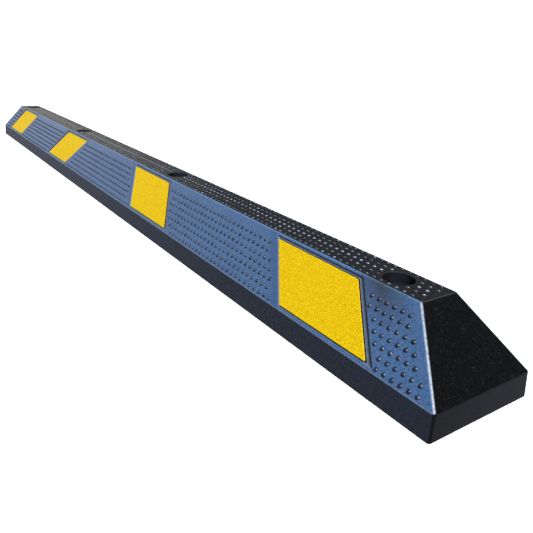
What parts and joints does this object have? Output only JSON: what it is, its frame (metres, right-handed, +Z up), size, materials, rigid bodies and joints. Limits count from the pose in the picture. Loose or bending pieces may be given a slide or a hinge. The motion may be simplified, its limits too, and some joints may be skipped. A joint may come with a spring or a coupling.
{
  "type": "parking wheel stop",
  "caption": "Long low rubber wheel stop with sloped studded faces, recessed yellow reflective panels and stepped anchor holes through its flat top.",
  "frame": {"origin": "centre of the underside, on the ground", "axes": "+X along the length, +Y towards the rear slope, +Z up; -Y is the front slope"},
  "size_m": [1.83, 0.15, 0.1],
  "materials": {
    "rubber": "moulded recycled rubber, satin black; the sloped faces read steel blue",
    "reflective_sheet": "grainy retro-reflective yellow sheet",
    "washer_steel": "zinc-plated steel"
  },
  "bodies": {
    "root": {"rubber_body": "rubber", "reflector_front_1": "reflective_sheet", "reflector_front_2": "reflective_sheet", "reflector_front_3": "reflective_sheet", "reflector_front_4": "reflective_sheet", "reflector_rear_1": "reflective_sheet", "reflector_rear_2": "reflective_sheet", "reflector_rear_3": "reflective_sheet", "reflector_rear_4": "reflective_sheet", "anchor_washer_1": "washer_steel", "anchor_washer_2": "washer_steel", "anchor_washer_3": "washer_steel", "anchor_washer_4": "washer_steel"}
  },
  "joints": []
}
